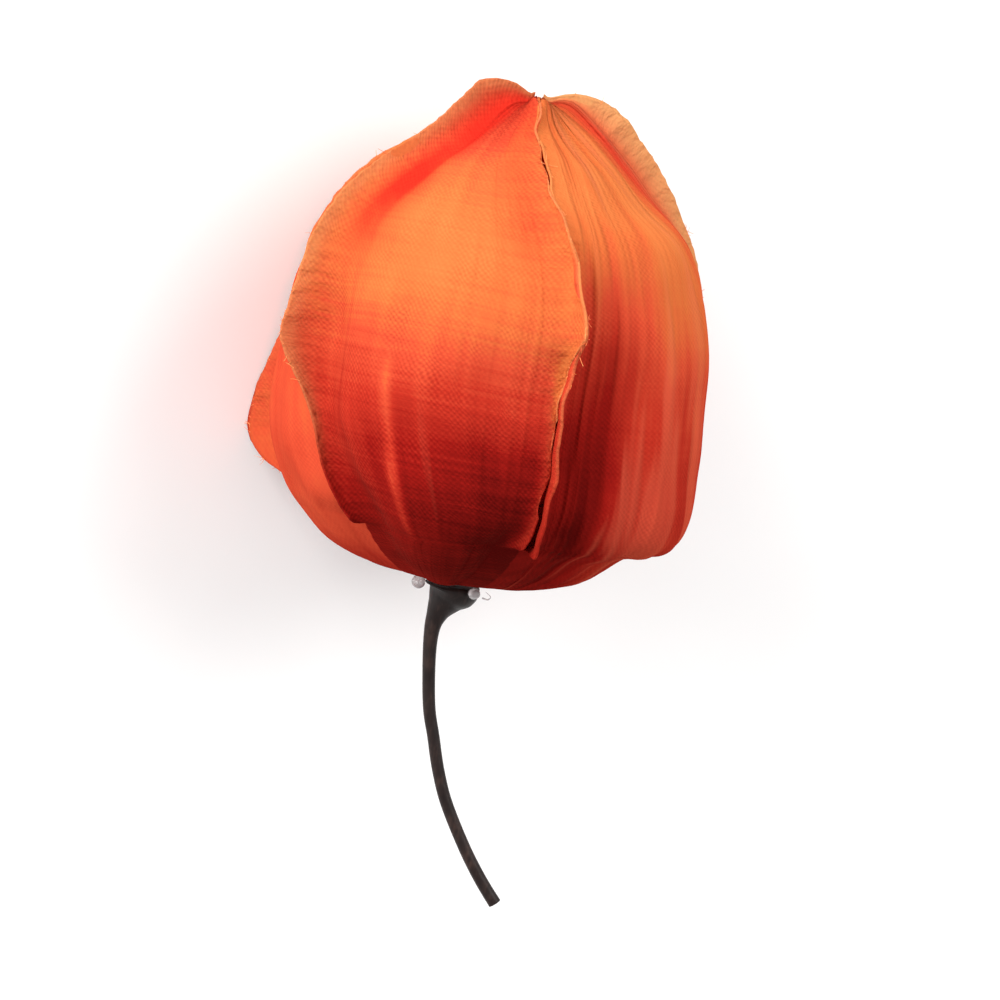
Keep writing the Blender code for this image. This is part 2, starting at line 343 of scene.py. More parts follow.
def loneThread():
    # a single thread of the cloth, from orange to red
    made, tree, shader = newMaterial("looseThread")
    where = addNode(tree, "ShaderNodeTexCoord")
    tint = addNode(tree, "ShaderNodeTexNoise", Scale=900.0, Detail=1.0)
    tree.links.new(where.outputs["Object"], tint.inputs["Vector"])
    colour = rampNode(tree, tint.outputs["Fac"], ((0.3, (0.95, 0.38, 0.11)), (0.7, (0.93, 0.17, 0.05))))
    tree.links.new(colour, shader.inputs["Base Color"])
    shader.inputs["Roughness"].default_value = 0.55
    shader.inputs["Subsurface Weight"].default_value = 0.2
    shader.inputs["Subsurface Radius"].default_value = (0.0004, 0.0002, 0.0001)
    return made


def mouldedStem():
    # dark brown plastic with a grain along its length and paler patches
    made, tree, shader = newMaterial("mouldedStem")
    link = tree.links.new
    where = addNode(tree, "ShaderNodeTexCoord")
    drag = addNode(tree, "ShaderNodeMapping")
    drag.inputs["Scale"].default_value = (1.0, 0.22, 1.0)
    link(where.outputs["Object"], drag.inputs["Vector"])
    grain = addNode(tree, "ShaderNodeTexNoise", Scale=2600.0, Detail=4.0, Roughness=0.6)
    link(drag.outputs[0], grain.inputs["Vector"])
    patches = addNode(tree, "ShaderNodeTexNoise", Scale=420.0, Detail=3.0)
    link(where.outputs["Object"], patches.inputs["Vector"])
    tint = mathNode(tree, "MULTIPLY", patches.outputs["Fac"], 0.5)
    tint = mathNode(tree, "MULTIPLY_ADD", grain.outputs["Fac"], 0.5, tint)
    colour = rampNode(
        tree, tint,
        ((0.30, (0.006, 0.003, 0.003)), (0.52, (0.015, 0.008, 0.007)), (0.72, (0.045, 0.024, 0.019))),
    )
    link(colour, shader.inputs["Base Color"])
    link(mathNode(tree, "MULTIPLY_ADD", patches.outputs["Fac"], 0.30, 0.30), shader.inputs["Roughness"])
    shader.inputs["Specular IOR Level"].default_value = 0.22
    bump = addNode(tree, "ShaderNodeBump", Strength=0.35, Distance=0.00008)
    link(grain.outputs["Fac"], bump.inputs["Height"])
    link(bump.outputs[0], shader.inputs["Normal"])
    return made


def hotGlue():
    # clear glue, slightly milky
    made, tree, shader = newMaterial("hotGlue")
    link = tree.links.new
    where = addNode(tree, "ShaderNodeTexCoord")
    haze = addNode(tree, "ShaderNodeTexNoise", Scale=1800.0, Detail=3.0)
    link(where.outputs["Object"], haze.inputs["Vector"])
    colour = rampNode(tree, haze.outputs["Fac"], ((0.3, (0.62, 0.55, 0.56)), (0.7, (0.90, 0.88, 0.88))))
    link(colour, shader.inputs["Base Color"])
    link(mathNode(tree, "MULTIPLY_ADD", haze.outputs["Fac"], 0.25, 0.08), shader.inputs["Roughness"])
    shader.inputs["Transmission Weight"].default_value = 0.55
    shader.inputs["IOR"].default_value = 1.48
    bump = addNode(tree, "ShaderNodeBump", Strength=0.2, Distance=0.00005)
    link(haze.outputs["Fac"], bump.inputs["Height"])
    link(bump.outputs[0], shader.inputs["Normal"])
    return made


cloth = wovenCloth()
thread = loneThread()
stemPlastic = mouldedStem()
glue = hotGlue()
print("materials made")


lantern = {
    "alongCount": 148,  # points from tip to stem
    "thickness": 0.22,  # mm
    "tipShare": 0.06,  # share of the length over which the seams lean in to the tip
    "dents": 0.55,  # mm, how uneven the cloth is
    "dentScale": 0.16,
    # stations from tip to stem, (radius, height): down the middle of a petal, and down a crease
    "petalLine": (
        (0.5, 48.8), (5.0, 46.2), (9.0, 43.4), (13.0, 40.2), (16.8, 36.8), (19.1, 32.6), (20.5, 27.5),
        (21.2, 22.0), (21.6, 16.5), (21.4, 11.5), (19.4, 7.8), (16.0, 5.0), (12.3, 2.9), (7.8, 1.5),
        (1.0, 1.0),
    ),
    "creaseLine": (
        (0.5, 48.3), (4.2, 44.8), (7.6, 41.9), (11.3, 38.9), (14.6, 35.4), (16.6, 31.5), (17.5, 26.5),
        (17.9, 21.5), (18.1, 16.3), (17.8, 11.6), (16.2, 8.0), (13.8, 5.5), (11.0, 3.4), (7.2, 1.7),
        (1.0, 1.0),
    ),
}

# One raised seam each.
# azimuth: at the tip, at the corner and at the slit's end.
# widths: how far it stands up, from the tip to its corner. It loses tipDrop of that at the very tip.
# fall: how soon it drops below the corner. end: where its slit ends.
# before and after: how far each side's edge still stands up below the corner, and at the slit's end.
# early: how much sooner the edge before it drops. tuck: how far that edge runs on under the one after it.
# gap: how far the slit opens, from openFrom of its length on.
# valley: how much shallower the crease is on each side, down to shallowTo. foot: how wide each crease is.
# painted crease shade: how red each crease is painted, for the shade and the red light bounced in it. pale:
# how pale each edge is, paleWide across.
# painted slit light: how much paler each edge is painted beside the slit, as light on the flaps that lie in
# its shade; above 0 it would be dyed deeper. gather: how far the seam sways.
# Lengths are in mm, angles in degrees, and places along a petal are shares from tip to stem. In the functions
# below, s is the share across a petal, v the share along it and k its number.
seams = (
    {"name": "frontLeft", "tipDrop": 0.86, "azimuth": (-60, -60, -36),
     "widths": (5.8, 4.4, 4.0, 4.5, 4.8, 5.0), "corner": 0.47,
     "fall": 0.10, "end": 0.745, "early": 0.10, "before": (-0.6, -0.9), "after": (2.2, 1.5), "tuck": 2.7,
     "gap": 0.0, "openFrom": 0.0, "valley": (0.2, 1.2), "shallowTo": (0.6, 0.36), "foot": (1.2, 2.4),
     "creaseShade": (0.3, 1.3), "pale": (0.3, 0.7), "paleWide": 0.09, "slitFlapLight": (0.0, 0.0), "gather": 0.12},
    {"name": "frontRight", "tipDrop": 0.84, "azimuth": (2, 20, 22),
     "widths": (2.8, 2.9, 2.9, 3.2, 4.1, 6.9), "corner": 0.41,
     "fall": 0.045, "end": 0.735, "early": 0.0, "before": (3.2, 1.3), "after": (4.2, 2.4), "tuck": 0.0,
     "gap": 0.35, "openFrom": 0.40, "valley": (2.4, 2.4), "shallowTo": (0.6, 0.26), "foot": (2.8, 2.4),
     "creaseShade": (0.40, 0.1), "pale": (0.5, 0.3), "paleWide": 0.02, "slitFlapLight": (-0.28, -0.22), "gather": 0.22},
    {"name": "right", "tipDrop": 0.80, "azimuth": (112, 112, 112),
     "widths": (3.8, 5.6, 5.4, 4.4, 4.0, 3.6), "corner": 0.46,
     "fall": 0.08, "end": 0.73, "early": 0.0, "before": (1.8, 0.6), "after": (1.4, 0.5), "tuck": 0.0,
     "gap": 0.7, "openFrom": 0.0, "valley": (2.5, 0.6), "shallowTo": (0.6, 0.6), "foot": (1.6, 1.4),
     "creaseShade": (1.0, 0.4), "pale": (1.3, 1.3), "paleWide": 0.20, "slitFlapLight": (0.0, 0.0), "gather": 0.15},
    {"name": "under", "tipDrop": 0.84, "azimuth": (168, 166, 168),
     "widths": (2.6, 5.0, 6.0, 6.4, 6.6, 6.6), "corner": 0.50,
     "fall": 0.08, "end": 0.73, "early": 0.0, "before": (1.4, 0.5), "after": (1.8, 0.6), "tuck": 0.0,
     "gap": 0.7, "openFrom": 0.0, "valley": (0.4, 0.4), "shallowTo": (0.6, 0.6), "foot": (1.4, 1.4),
     "creaseShade": (0.6, 0.6), "pale": (0.8, 0.8), "paleWide": 0.09, "slitFlapLight": (0.0, 0.0), "gather": 0.12},
    {"name": "left", "tipDrop": 0.84, "azimuth": (244, 244, 244),
     "widths": (2.4, 3.2, 3.9, 4.8, 5.9, 8.2), "corner": 0.63,
     "fall": 0.09, "end": 0.79, "early": 0.0, "before": (3.9, 2.0), "after": (3.9, 2.0), "tuck": 0.0,
     "gap": 0.6, "openFrom": 0.0, "valley": (0.4, 0.4), "shallowTo": (0.6, 0.6), "foot": (1.4, 1.4),
     "creaseShade": (0.5, 0.3), "pale": (0.5, 0.1), "paleWide": 0.07, "slitFlapLight": (0.0, 0.0), "gather": 0.10},
)

# One petal after each seam.
# streaks: how strongly the dye runs along the weft. wrinkles: how strongly it is wrinkled from tip to stem.
# swell: how far it bulges from its creases, from tip to stem, 1 being the whole petal line.
# depth of dye from tip to stem, down its left, its middle and its right: the real dye from orange to deep
# red, with painted shade where the petal turns down and away from the light and beside the slit, and painted
# light on the lit left petal and in the right petal's hollow.
petals = (
    {"name": "front", "columns": 92, "streaks": 1.0, "wrinkles": 0.30,
     "swell": (1.0, 1.0, 1.0, 1.0, 1.0, 1.0, 1.0, 1.0, 1.0),
     "dyeAndShade": ((0.58, 0.55, 0.36, 0.28, 0.34, 0.52, 0.70, 0.84, 0.88, 0.85, 0.82),
             (0.62, 0.54, 0.32, 0.20, 0.25, 0.56, 0.84, 0.90, 0.92, 0.85, 0.82),
             (0.50, 0.36, 0.30, 0.26, 0.30, 0.58, 0.92, 1.0, 1.0, 0.95, 0.92))},
    {"name": "right", "columns": 92, "streaks": 0.30, "wrinkles": 1.0,
     "swell": (1.0, 1.0, 1.0, 1.0, 1.05, 1.2, 1.5, 0.6, 0.6),
     "dyeAndShade": ((0.34, 0.16, 0.16, 0.28, 0.56, 0.76, 0.86, 0.92, 0.90, 0.88, 0.90),
             (0.26, 0.18, 0.16, 0.19, 0.35, 0.56, 0.66, 0.62, 0.66, 0.78, 0.84),
             (0.38, 0.46, 0.48, 0.46, 0.44, 0.44, 0.44, 0.38, 0.34, 0.50, 0.80))},
    {"name": "backRight", "columns": 40, "streaks": 0.4, "wrinkles": 0.7,
     "swell": (0.75, 0.75, 0.75, 0.75, 0.75, 0.75, 0.9, 0.9, 0.9),
     "dyeAndShade": ((0.20, 0.18, 0.22, 0.30, 0.38, 0.48, 0.56, 0.62, 0.68, 0.76, 0.86),
             (0.32, 0.26, 0.24, 0.28, 0.36, 0.46, 0.58, 0.68, 0.78, 0.84, 0.88),
             (0.32, 0.26, 0.24, 0.28, 0.36, 0.46, 0.58, 0.68, 0.78, 0.84, 0.88))},
    {"name": "backLeft", "columns": 40, "streaks": 0.4, "wrinkles": 0.7,
     "swell": (0.45, 0.45, 0.45, 0.45, 0.45, 0.5, 0.5, 0.7, 0.8),
     "dyeAndShade": ((0.36, 0.28, 0.22, 0.26, 0.32, 0.44, 0.58, 0.70, 0.80, 0.86, 0.88),
             (0.36, 0.28, 0.22, 0.26, 0.32, 0.44, 0.58, 0.70, 0.80, 0.86, 0.88),
             (0.36, 0.28, 0.22, 0.26, 0.32, 0.42, 0.50, 0.56, 0.62, 0.72, 0.88))},
    {"name": "left", "columns": 64, "streaks": 0.2, "wrinkles": 0.15,
     "swell": (0.8, 0.8, 0.8, 0.75, 0.7, 0.5, 0.5, 0.9, 0.6),
     "dyeAndShade": ((0.36, 0.30, 0.30, 0.32, 0.36, 0.40, 0.42, 0.46, 0.48, 0.58, 0.82),
             (0.36, 0.30, 0.30, 0.34, 0.40, 0.46, 0.48, 0.48, 0.50, 0.64, 0.86),
             (0.36, 0.30, 0.30, 0.34, 0.36, 0.38, 0.42, 0.46, 0.50, 0.66, 0.86))},
)


def outward(line):
    # the directions square to a (radius, height) line, away from the middle
    along = np.gradient(line, axis=0)
    along /= np.linalg.norm(along, axis=1)[:, None]
    return np.column_stack([-along[:, 1], along[:, 0]])


def seamAzimuth(seam, v):
    tip, corner, end = seam["azimuth"]
    upper = tip + (corner - tip) * ease(v / seam["corner"])
    return np.radians(upper + (end - corner) * ease((v - seam["corner"]) / (seam["end"] - seam["corner"])))


def seamWidth(seam, side, v):
    below = np.clip((v - seam["corner"]) / (seam["end"] - seam["corner"]), 0, 1)
    corner = seam["corner"] - (seam["early"] if side == "before" else 0)
    drop = ease((v - corner) / seam["fall"])
    start, stop = seam[side]
    tail = (start + (stop - start) * below) * (1 - ease((v - seam["end"] + 0.03) / 0.03))
    return through(seam["widths"], v / seam["corner"])[:, 0] * (1 - drop) + tail * drop


def seamOffset(seam, side, v):
    # how far the petal's edge stays back from the seam's middle, in mm along the surface
    below = np.clip((v - seam["corner"]) / (seam["end"] - seam["corner"]), 0, 1)
    opened = np.clip((below - seam["openFrom"]) / (1 - seam["openFrom"]), 0, 1)
    shut = 1 - ease((v - seam["end"] + 0.012) / 0.012)
    apart = 0.14 + seam["gap"] / 2 * np.sin(math.pi * opened) ** 0.8 + 0.35 * ease((below - 0.8) / 0.12)
    if side == "before":
        apart = apart - seam["tuck"] * np.sin(math.pi * np.clip(below * 1.02, 0, 1)) ** 0.6
    return apart * shut


def roughEdge(v, seed):
    # cut cloth: a slow wave and a ragged fine one
    slow = np.array([noise.noise((x * 9.0, seed * 7.3, 0.0)) for x in v])
    fine = np.array([noise.noise((x * 95.0, seed * 3.1, 5.0)) for x in v])
    return 0.45 * slow + 0.16 * fine


# share of the flap's width, and how far out to the foot of its crease, standing up and lying flat
flapShares = ((1.0, 0.0, 0.0), (0.66, 0.0, 0.35), (0.34, 0.14, 0.7), (0.02, 0.85, 1.0))


def petalPoints(k, s, v):
    # the cloth of petal k as (across, along, 3) points in mm
    before, after = seams[k], seams[(k + 1) % 5]
    petalLine, creaseLine = through(lantern["petalLine"], v), through(lantern["creaseLine"], v)
    out = outward(creaseLine)
    # near the tip the seams turn up and in, so they meet over it
    tip = 1 - ease(v / lantern["tipShare"])
    out = out + np.column_stack([-0.70 * tip, 0.40 * tip])
    out /= np.linalg.norm(out, axis=1)[:, None]
    azimuthA, azimuthB = seamAzimuth(before, v), seamAzimuth(after, v)
    azimuthB = azimuthB + 2 * math.pi * (azimuthB[0] < azimuthA[0])
    radius = np.maximum(creaseLine[:, 0], 0.4)
    sides = []
    for seam, side, azimuth, sign in ((before, "after", azimuthA, 1), (after, "before", azimuthB, -1)):
        which = 1 if side == "after" else 0
        width = seamWidth(seam, side, v) * (1 - seam["tipDrop"] * tip)
        rough = roughEdge(v, k * 2.0 + which) * ease(v / 0.05) * (1 - ease((v - seam["end"] + 0.05) / 0.05))
        width = width + rough * np.clip(np.abs(width) / 3, 0.2, 1)
        offset = np.minimum(seamOffset(seam, side, v), 0.2 * radius)
        foot = np.minimum(seam["foot"][which], 0.30 * radius)
        valley = seam["valley"][which] * ease(v / 0.04) * (1 - ease((v - seam["shallowTo"][which]) / 0.12))
        sway = seam["gather"] * (np.sin(46 * v) + 0.6 * np.sin(97 * v + 1))
        sway = sway * ease(v / 0.1) * (1 - ease((v - 0.64) / 0.06))
        flat = 1 - np.clip(np.abs(width) / 1.5, 0, 1)
        flap = []
        for share, stand, spread in flapShares:
            line = creaseLine + out * (width * share + valley * (1 - share))[:, None]
            reach = sign * (offset + foot * (stand * (1 - flat) + spread * flat)) + sway * share
            flap.append(np.column_stack([line, azimuth + reach / np.maximum(line[:, 0], 0.8)]))
        sides.append(flap)
    left, right = sides
    belly = []
    start, stop = left[-1], right[-1]
    swell = through(petals[k]["swell"], v)[:, 0]
    for share in (0.13, 0.30, 0.5, 0.70, 0.87):
        low = start[:, :2] + (stop[:, :2] - start[:, :2]) * ease(share)
        rise = swell * 1.06 * math.sin(math.pi * share) ** 0.85
        line = low + (petalLine - low) * rise[:, None]
        belly.append(np.column_stack([line, start[:, 2] + (stop[:, 2] - start[:, 2]) * share]))
    controls = np.array(left + belly + right[::-1])
    grid = np.einsum("ac,cvx->avx", splineWeights(len(s), len(controls)), controls)
    r, h, a = grid[..., 0], grid[..., 1], grid[..., 2]
    return np.stack([r * np.sin(a), -r * np.cos(a), h], axis=-1)


folds = {
    # waves across a petal: (how many, height in mm, phase)
    "rightWaves": ((9, 0.24, 0.4), (14, 0.18, 1.9), (21, 0.07, 0.9)),
    "hiddenWaves": ((6, 0.14, 2.4), (10, 0.08, 0.3)),
    # single ridges of the front petal: (share across, height in mm, width, where it starts and ends along)
    "frontRidges": (
        (0.460, 0.20, 0.011, 0.46, 0.60), (0.450, 0.20, 0.011, 0.57, 0.69),
        (0.62, 0.12, 0.018, 0.12, 0.34), (0.54, 0.10, 0.020, 0.10, 0.30),
    ),
    # where the first two get painted highlights along their ridges: (share across, start, stop)
    "foldHighlight": ((0.460, 0.46, 0.61), (0.450, 0.57, 0.69)),
    # how much paler the painted highlights along those ridges are
    "crestHighlight": 0.22,
    # the hollow over the stem at the lower right: depth in mm, then (centre, width) across and along
    "hollow": {"depth": 1.9, "across": (0.50, 0.17), "along": (0.768, 0.046)},
}


def wrinkleHeight(k, s, v):
    # pressed folds from tip to stem, in mm, over the petal's share across and along
    across, along = np.meshgrid(s, v, indexing="ij")
    inside = ease((across - 0.24) / 0.10) * (1 - ease((across - 0.68) / 0.10))
    waist = ease(along / 0.10) * (1 - ease((along - 0.80) / 0.15))
    drift = 0.035 * np.sin(5.0 * along + k) + 0.02 * np.sin(11.0 * along + 2 * k)
    fold = np.zeros_like(across)
    if petals[k]["name"] == "right":
        for count, size, phase in folds["rightWaves"]:
            wave = np.cos(2 * math.pi * count * (across + drift) + phase)
            fold += size * wave * (0.6 + 0.4 * np.sin(7 * along + count))
    elif petals[k]["name"] == "front":
        for place, size, wide, top, low in folds["frontRidges"]:
            ridge = np.exp(-(((across + 0.4 * drift - place) / wide) ** 2))
            fold += size * ridge * ease((along - top) / 0.08) * (1 - ease((along - low) / 0.08))
    else:
        for count, size, phase in folds["hiddenWaves"]:
            fold += size * np.cos(2 * math.pi * count * (across + drift) + phase + k)
    fold = fold * inside * waist
    if petals[k]["name"] == "right":
        hollow = folds["hollow"]
        aside, wide = hollow["across"]
        down, deep = hollow["along"]
        fold -= hollow["depth"] * np.exp(-(((across - aside) / wide) ** 2) - ((along - down) / deep) ** 2)
    return fold


def noiseField(points, scale, seed):
    return np.array([noise.noise((x * scale + seed, y * scale, z * scale)) for x, y, z in points])


def pointNormals(grid):
    across, along = np.gradient(grid, axis=0), np.gradient(grid, axis=1)
    normal = np.cross(across, along)
    normal /= np.maximum(np.linalg.norm(normal, axis=-1), 1e-9)[..., None]
    return normal


def makePetal(k):
    nx, ny = petals[k]["columns"], lantern["alongCount"]
    clearSelection()
    bpy.ops.mesh.primitive_grid_add(x_subdivisions=nx - 1, y_subdivisions=ny - 1, size=2, calc_uvs=True)
    petal = takeNew("petal" + str(k), cloth)
    mesh = petal.data
    place = np.empty(len(mesh.vertices) * 3)
    mesh.vertices.foreach_get("co", place)
    place = place.reshape(-1, 3)
    i = np.rint((place[:, 0] + 1) / 2 * (nx - 1)).astype(int)
    j = np.rint((place[:, 1] + 1) / 2 * (ny - 1)).astype(int)
    s, v = np.linspace(0, 1, nx), np.linspace(0, 1, ny)
    grid = petalPoints(k, s, v)
    normal = pointNormals(grid)
    facing = np.sign((normal * (grid - [0, 0, 22])).sum(axis=-1)[nx // 2, ny // 2])
    fold = wrinkleHeight(k, s, v)
    # soft dents, less on the flaps, fading towards the tip and the bowl
    soft = noiseField(grid.reshape(-1, 3), lantern["dentScale"], k * 11.0).reshape(nx, ny)
    fade = ease(v / lantern["tipShare"]) * (1 - ease((v - 0.70) / 0.04))
    flap = np.clip(1 - s / 0.25, 0, 1) + np.clip(1 - (1 - s) / 0.25, 0, 1)
    soft = soft * fade[None, :] * (lantern["dents"] - 0.35 * flap[:, None])
    grid = grid + normal * (facing * (fold + soft))[..., None]

    mesh.vertices.foreach_set("co", grid[i, j].ravel())

    # cloth coordinates: mm along the weft from the petal's middle, and mm down the warp from the tip
    stepAcross = np.linalg.norm(np.diff(grid, axis=0), axis=-1)
    stepAlong = np.linalg.norm(np.diff(grid, axis=1), axis=-1)
    u = np.vstack([np.zeros(ny), np.cumsum(stepAcross, axis=0)])
    u = u - u[nx // 2]
    w = np.concatenate([[0], np.cumsum(stepAlong[nx // 2])])[None, :].repeat(nx, axis=0)
    layer = mesh.uv_layers[0]
    layer.name = "cloth"
    loops = np.empty(len(mesh.loops), int)
    mesh.loops.foreach_get("vertex_index", loops)
    uv = np.column_stack([u[i, j] + 60 * k, w[i, j]])
    layer.data.foreach_set("uv", uv[loops].ravel())

    # colours: depth of dye with painted shade and light, pale edges, painted red shade in the creases, and
    # how strongly pleats, wrinkles and streaks show
    before, after = seams[k], seams[(k + 1) % 5]
    share, reach = s[:, None] * np.ones(ny), v[None, :] * np.ones((nx, 1))
    downLeft, downMiddle, downRight = (through(line, v)[:, 0][None, :] for line in petals[k]["dyeAndShade"])
    depth = np.where(
        share < 0.5,
        downLeft + (downMiddle - downLeft) * ease((share - 0.25) / 0.25),
        downMiddle + (downRight - downMiddle) * ease((share - 0.5) / 0.25),
    )
    inside = ease((share - 0.16) / 0.12) * (1 - ease((share - 0.72) / 0.12))
    low = ease((reach - 0.40) / 0.06) * (1 - ease((reach - 0.70) / 0.04))
    # painted light: the edges beside the slit are made paler where they lie in its shade
    depth = depth + low * before["slitFlapLight"][1] * (1 - ease((share - 0.12) / 0.10))
    depth = depth + low * after["slitFlapLight"][0] * ease((share - 0.78) / 0.10)
    if petals[k]["name"] == "front":
        # painted highlights: paler dye along the two front fold ridges
        for place, start, stop in folds["foldHighlight"]:
            foldHighlight = np.exp(-(((share - place + 0.01 * (reach - 0.5)) / 0.011) ** 2))
            foldHighlight = foldHighlight * ease((reach - start) / 0.06) * (1 - ease((reach - stop) / 0.06))
            depth = depth - folds["crestHighlight"] * foldHighlight
    # painted crease shade: red along the crease beside each seam, wider near the tip, fading out from a
    # quarter of the way down
    wide = 0.095 + 0.05 * (1 - ease(reach / 0.24))
    creaseShade = before["creaseShade"][1] * np.exp(-(((share - 0.26 - 0.03 * (1 - ease(reach / 0.24))) / wide) ** 2))
    creaseShade = creaseShade + after["creaseShade"][0] * np.exp(-(((share - 0.73) / wide) ** 2))
    creaseShade = np.clip(creaseShade, 0, 1) * (1 - ease((reach - 0.24) / 0.18))
    pale = before["pale"][1] * np.exp(-((share / before["paleWide"]) ** 2))
    pale = pale + after["pale"][0] * np.exp(-(((1 - share) / after["paleWide"]) ** 2))
    pale = pale * (1 - ease((reach - 0.50) / 0.16))
    for name, values in (
        ("dyeAndShade", (depth, pale, creaseShade, (1 - inside) * (1 - ease((reach - 0.60) / 0.08)))),
        ("cut", (share, reach, petals[k]["wrinkles"] * inside, petals[k]["streaks"] + 0 * share)),
    ):
        attribute = mesh.color_attributes.new(name=name, type="FLOAT_COLOR", domain="POINT")
        attribute.data.foreach_set("color", np.stack(values, axis=-1)[i, j].ravel())
    mesh.update()
    return petal, grid


def makeLantern():
    made = [makePetal(k) for k in range(5)]
    clearSelection()
    for petal, _ in made:
        petal.select_set(True)
    bpy.context.view_layer.objects.active = made[0][0]
    bpy.ops.object.join()
    husk = bpy.context.object
    husk.name = husk.data.name = "lanternCloth"
    bpy.ops.object.mode_set(mode="EDIT")
    bpy.ops.mesh.select_all(action="SELECT")
    bpy.ops.mesh.remove_doubles(threshold=0.01)
    bpy.ops.object.mode_set(mode="OBJECT")
    middle = Vector((0, 0, 22))
    turned = np.mean([polygon.normal.dot(polygon.center - middle) for polygon in husk.data.polygons])
    if turned < 0:
        husk.data.flip_normals()
    wall = husk.modifiers.new("wall", "SOLIDIFY")
    wall.thickness = lantern["thickness"]
    wall.offset = -1
    wall.use_rim = True
    bpy.ops.object.modifier_apply(modifier="wall")
    layDown(husk)
    bpy.ops.object.shade_smooth()
    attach(husk, "root")
    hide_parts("husk")
    return husk, [grid for _, grid in made]


husk, grids = makeLantern()
print("lantern made:", len(husk.data.polygons), "faces")


stemShape = {
    # from the cut end to the cup: (x, z, radius) in mm
    "line": (
        (9.8, -30.6, 0.66), (8.0, -28.5, 0.64), (5.8, -25.5, 0.62), (3.3, -21.4, 0.62), (1.9, -18.2, 0.62),
        (0.86, -15.0, 0.62), (-0.1, -12.0, 0.63), (-0.9, -7.4, 0.66), (-1.15, -4.4, 0.78), (-0.9, -2.7, 1.1),
        (-0.4, -1.3, 1.8), (0.0, -0.4, 2.5), (0.1, 0.1, 2.75), (0.1, 0.5, 2.6),
    ),
    "rings": 150,
    "unevenness": 0.05,
}


def makeTube(name, points, radii, material, roundness):
    curve = bpy.data.curves.new(name, "CURVE")
    curve.dimensions = "3D"
    curve.bevel_depth = 1.0
    curve.bevel_resolution = roundness
    curve.use_fill_caps = True
    spline = curve.splines.new("POLY")
    spline.points.add(len(points) - 1)
    for point, place, radius in zip(spline.points, points, radii):
        point.co = (*place, 1)
        point.radius = radius
    tube = bpy.data.objects.new(name, curve)
    bpy.context.collection.objects.link(tube)
    clearSelection()
    tube.select_set(True)
    bpy.context.view_layer.objects.active = tube
    bpy.ops.object.convert(target="MESH")
    return takeNew(name, material)


def makeStem():
    line = through(stemShape["line"], np.linspace(0, 1, stemShape["rings"]))
    points = np.column_stack([line[:, 0], np.zeros(len(line)), line[:, 1]])
    stem = makeTube("mouldedStem", points, line[:, 2], stemPlastic, 6)
    for vert in stem.data.vertices:
        lump = noise.noise(vert.co * 0.9) + 0.5 * noise.noise(vert.co * 2.3)
        side = Vector((vert.co.x if vert.co.z > -2 else 0, vert.co.y, 0)).normalized()
        vert.co += side * lump * stemShape["unevenness"]
    bpy.ops.object.shade_smooth_by_angle(angle=math.radians(50))
    layDown(stem)
    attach(stem, "root")
    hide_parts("stem")
    return stem


stem = makeStem()
print("stem made")


# mm, like the beads
glueThread = {
    "line": ((3.2, -2.7, 0.05), (3.75, -3.0, 0.05), (3.95, -3.1, 0.4), (3.4, -3.1, 0.78)),
    "thick": 0.09,
}


def makeGlue():
    # two lumpy beads at the cup, and a drawn-out end that curls
    for name, bead in beads.items():
        clearSelection()
        bpy.ops.mesh.primitive_uv_sphere_add(segments=40, ring_count=24, radius=bead["radius"])
        drop = takeNew(name, glue)
        for vert in drop.data.vertices:
            vert.co *= 1 + 0.10 * noise.noise(vert.co * 1.6 + Vector(bead["centre"]))
            vert.co.z *= 0.92
            vert.co += Vector(bead["centre"])
        bpy.ops.object.shade_smooth()
        layDown(drop)
        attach(drop, "root")
        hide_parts(bead["node"])
    line = through(glueThread["line"], np.linspace(0, 1, 24))
    radii = glueThread["thick"] * (1 - 0.75 * np.linspace(0, 1, 24))
    strand = makeTube("glueThread", line, radii, glue, 2)
    bpy.ops.object.shade_smooth()
    layDown(strand)
    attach(strand, "root")
    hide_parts("glue_thread")


makeGlue()
print("glue made")


# threads that stand out of the cut edges, in mm, most of them at the corners
frays = {"perEdge": 6, "perCorner": 9, "length": (0.25, 0.9), "thick": (0.022, 0.04), "seed": 11}


def makeFrays():
    rng = random.Random(frays["seed"])
    curve = bpy.data.curves.new("looseThreads", "CURVE")
    curve.dimensions = "3D"
    curve.bevel_depth = 1.0
    curve.bevel_resolution = 0
    curve.use_fill_caps = True
    ny = lantern["alongCount"]
    for k, grid in enumerate(grids):
        for column, inner, seam in ((0, 3, seams[k]), (-1, -4, seams[(k + 1) % 5])):
            for n in range(frays["perEdge"] + frays["perCorner"]):
                share = 0.03 + (seam["corner"] + 0.04) * rng.random()
                if n >= frays["perEdge"]:
                    share = seam["corner"] + rng.uniform(-0.02, 0.06)
                j = int(share * (ny - 1))
                start = Vector(grid[column, j])
                out = (start - Vector(grid[inner, j])).normalized()
                along = (Vector(grid[column, j + 1]) - start).normalized()
                size = rng.uniform(*frays["length"]) * (1.6 if rng.random() < 0.08 else 1)
                heading = (out * rng.uniform(0.3, 1.0) + along * rng.uniform(-1.2, 1.2)).normalized()
                bend = Vector((rng.uniform(-1, 1), rng.uniform(-1, 1), rng.uniform(-1, 1))) * 0.5
                spline = curve.splines.new("POLY")
                spline.points.add(4)
                thick = rng.uniform(*frays["thick"])
                for step, point in enumerate(spline.points):
                    t = step / 4
                    spot = start - out * 0.1 + heading * (size * t) + bend * (size * t * t * 0.6)
                    point.co = (*spot, 1)
                    point.radius = thick * (1 - 0.5 * t)
    piece = bpy.data.objects.new("looseThreads", curve)
    bpy.context.collection.objects.link(piece)
    clearSelection()
    piece.select_set(True)
    bpy.context.view_layer.objects.active = piece
    bpy.ops.object.convert(target="MESH")
    piece = takeNew("looseThreads", thread)
    bpy.ops.object.shade_smooth()
    layDown(piece)
    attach(piece, "root")
    return piece


looseThreads = makeFrays()
area = sum(polygon.area for polygon in husk.data.polygons) / 2
print("cloth area of one side, m2:", round(area, 6))
print("loose threads made")


floorLook = {"size": 3.0, "colour": (0.955, 0.955, 0.96)}  # metres


